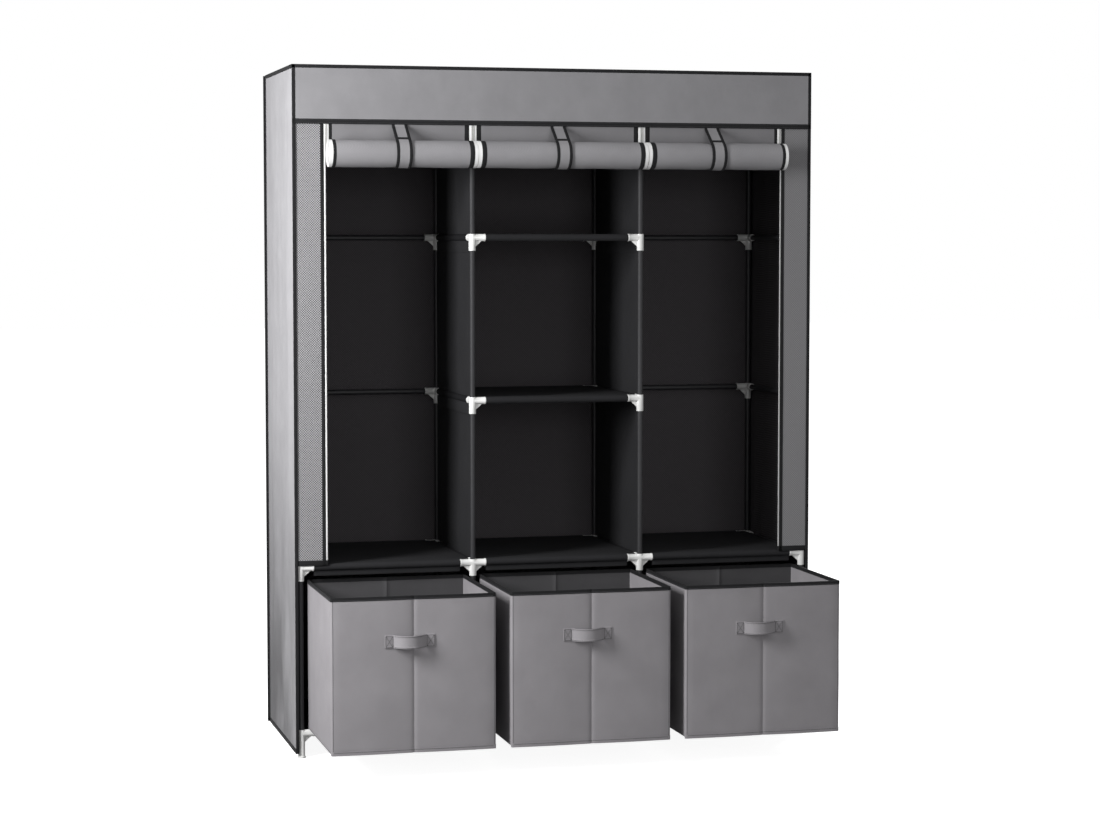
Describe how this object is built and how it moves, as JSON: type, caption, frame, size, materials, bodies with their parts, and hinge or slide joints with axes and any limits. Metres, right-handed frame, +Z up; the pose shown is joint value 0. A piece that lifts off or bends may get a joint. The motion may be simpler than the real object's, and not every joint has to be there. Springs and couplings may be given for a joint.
{
  "type": "portable fabric wardrobe",
  "caption": "Cloth-covered tube-frame wardrobe with hanging bays, shelves, roll-up doors that slide down at the front, and pull-out fabric bins under them.",
  "frame": {"origin": "centre of the overall footprint, pulled-out bins and their handles included, at the floor", "axes": "+Z up, +X to the right as seen from the front, the front faces -Y"},
  "size_m": [1.3, 0.7774, 1.658],
  "materials": {
    "cover_cloth": "matte",
    "side_cloth": "matte",
    "door_cloth": "matte",
    "strap_cloth": "matte",
    "bin_cloth": "matte",
    "black_cloth": "matte",
    "base_board": "matte",
    "white_connector": "satin",
    "frame_steel": "satin"
  },
  "bodies": {
    "wardrobe": {"cover_top": "cover_cloth", "cover_left_side": "side_cloth", "cover_right_side": "side_cloth", "cover_back": "black_cloth", "cover_header_flap": "cover_cloth", "cover_left_front_strip": "cover_cloth", "cover_right_front_strip": "cover_cloth", "left_door_sheet": "door_cloth", "middle_door_sheet": "door_cloth", "right_door_sheet": "door_cloth", "left_roll_strap": "strap_cloth", "middle_roll_strap": "strap_cloth", "right_roll_strap": "strap_cloth", "left_bottom_shelf": "black_cloth", "middle_bottom_shelf": "black_cloth", "right_bottom_shelf": "black_cloth", "left_shelf_level_1": "black_cloth", "middle_shelf_level_1": "black_cloth", "right_shelf_level_1": "black_cloth", "middle_shelf_level_2": "black_cloth", "middle_shelf_level_3": "black_cloth", "left_divider_panel": "black_cloth", "right_divider_panel": "black_cloth", "left_hanging_rod": "frame_steel", "right_hanging_rod": "frame_steel", "front_left_outer_upright": "frame_steel", "front_left_inner_upright": "frame_steel", "front_right_inner_upright": "frame_steel", "front_right_outer_upright": "frame_steel", "rear_left_outer_upright": "frame_steel", "rear_left_inner_upright": "frame_steel", "rear_right_inner_upright": "frame_steel", "rear_right_outer_upright": "frame_steel", "level_1_left_outer_connector": "white_connector", "level_1_left_inner_connector": "white_connector", "level_1_right_inner_connector": "white_connector", "level_1_right_outer_connector": "white_connector", "level_2_left_inner_connector": "white_connector", "level_2_right_inner_connector": "white_connector", "level_3_left_inner_connector": "white_connector", "level_3_right_inner_connector": "white_connector", "level_1_rear_frame": "frame_steel", "level_2_rear_frame": "frame_steel", "level_3_rear_frame": "frame_steel", "bottom_frame": "frame_steel", "top_frame": "frame_steel"},
    "left_door": {"left_door_roll": "door_cloth"},
    "middle_door": {"middle_door_roll": "door_cloth"},
    "right_door": {"right_door_roll": "door_cloth"},
    "left_drawer": {"left_bin": "bin_cloth", "left_bin_base_board": "base_board", "left_bin_handle": "bin_cloth"},
    "middle_drawer": {"middle_bin": "bin_cloth", "middle_bin_base_board": "base_board", "middle_bin_handle": "bin_cloth"},
    "right_drawer": {"right_bin": "bin_cloth", "right_bin_base_board": "base_board", "right_bin_handle": "bin_cloth"}
  },
  "joints": [
    {"name": "left_door_slide", "type": "slide", "parent": "wardrobe", "child": "left_door", "axis": [0, 0, -1], "range_m": [0, 0.942], "deforming": ["left_door_sheet", "left_roll_strap"]},
    {"name": "middle_door_slide", "type": "slide", "parent": "wardrobe", "child": "middle_door", "axis": [0, 0, -1], "range_m": [0, 0.942], "deforming": ["middle_door_sheet", "middle_roll_strap"]},
    {"name": "right_door_slide", "type": "slide", "parent": "wardrobe", "child": "right_door", "axis": [0, 0, -1], "range_m": [0, 0.942], "deforming": ["right_door_sheet", "right_roll_strap"]},
    {"name": "left_bin_slide", "type": "slide", "parent": "wardrobe", "child": "left_drawer", "axis": [0, -1, 0], "range_m": [-0.31, 0.015]},
    {"name": "middle_bin_slide", "type": "slide", "parent": "wardrobe", "child": "middle_drawer", "axis": [0, -1, 0], "range_m": [-0.31, 0.015]},
    {"name": "right_bin_slide", "type": "slide", "parent": "wardrobe", "child": "right_drawer", "axis": [0, -1, 0], "range_m": [-0.31, 0.015]}
  ]
}
